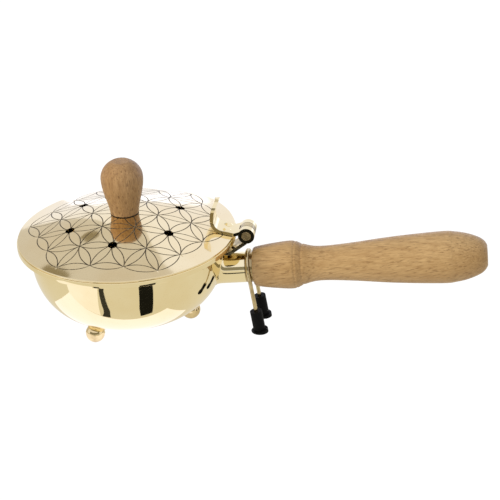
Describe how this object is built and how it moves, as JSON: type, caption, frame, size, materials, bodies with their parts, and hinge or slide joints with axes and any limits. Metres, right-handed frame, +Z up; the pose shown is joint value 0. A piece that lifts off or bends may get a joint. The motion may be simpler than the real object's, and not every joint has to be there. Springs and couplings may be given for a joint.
{
  "type": "hand-held incense censer",
  "caption": "Shallow brass bowl with ball feet, a hinged vented lid worked by a thumb lever, a turned wooden handle and a wire stand.",
  "frame": {"origin": "on the floor, at the middle of the object's length and width", "axes": "+X along the handle, away from the bowl, +Z up, Y across"},
  "size_m": [0.2611, 0.122, 0.0977],
  "materials": {
    "polished_brass": "mirror polished",
    "aged_brass": "dull",
    "steel": "plated",
    "oiled_wood": "oiled, open grain",
    "black_rubber": "matt"
  },
  "bodies": {
    "pan": {"bowl": "polished_brass", "hinge_bracket": "polished_brass", "bracket_rivets": "polished_brass", "hinge_pin": "aged_brass", "neck_tube": "polished_brass", "collar_ring": "aged_brass", "handle": "oiled_wood", "handle_rod": "steel", "rod_nut": "steel", "rod_washer": "steel", "wire_stand": "polished_brass", "rubber_cap_left": "black_rubber", "rubber_cap_right": "black_rubber", "ball_foot_1": "polished_brass", "ball_foot_2": "polished_brass", "ball_foot_3": "polished_brass", "foot_screw_1": "steel", "foot_screw_2": "steel", "foot_screw_3": "steel"},
    "lid": {"lid": "polished_brass", "knob": "oiled_wood", "knob_screw": "steel", "knob_washer": "steel", "thumb_lever": "polished_brass", "lever_rivets": "polished_brass"}
  },
  "joints": [
    {"name": "lid_hinge", "type": "hinge", "parent": "pan", "child": "lid", "pos_m": [-0.00173, 0, 0.05729], "axis": [0, 1, 0], "range_deg": [0, 140]}
  ]
}
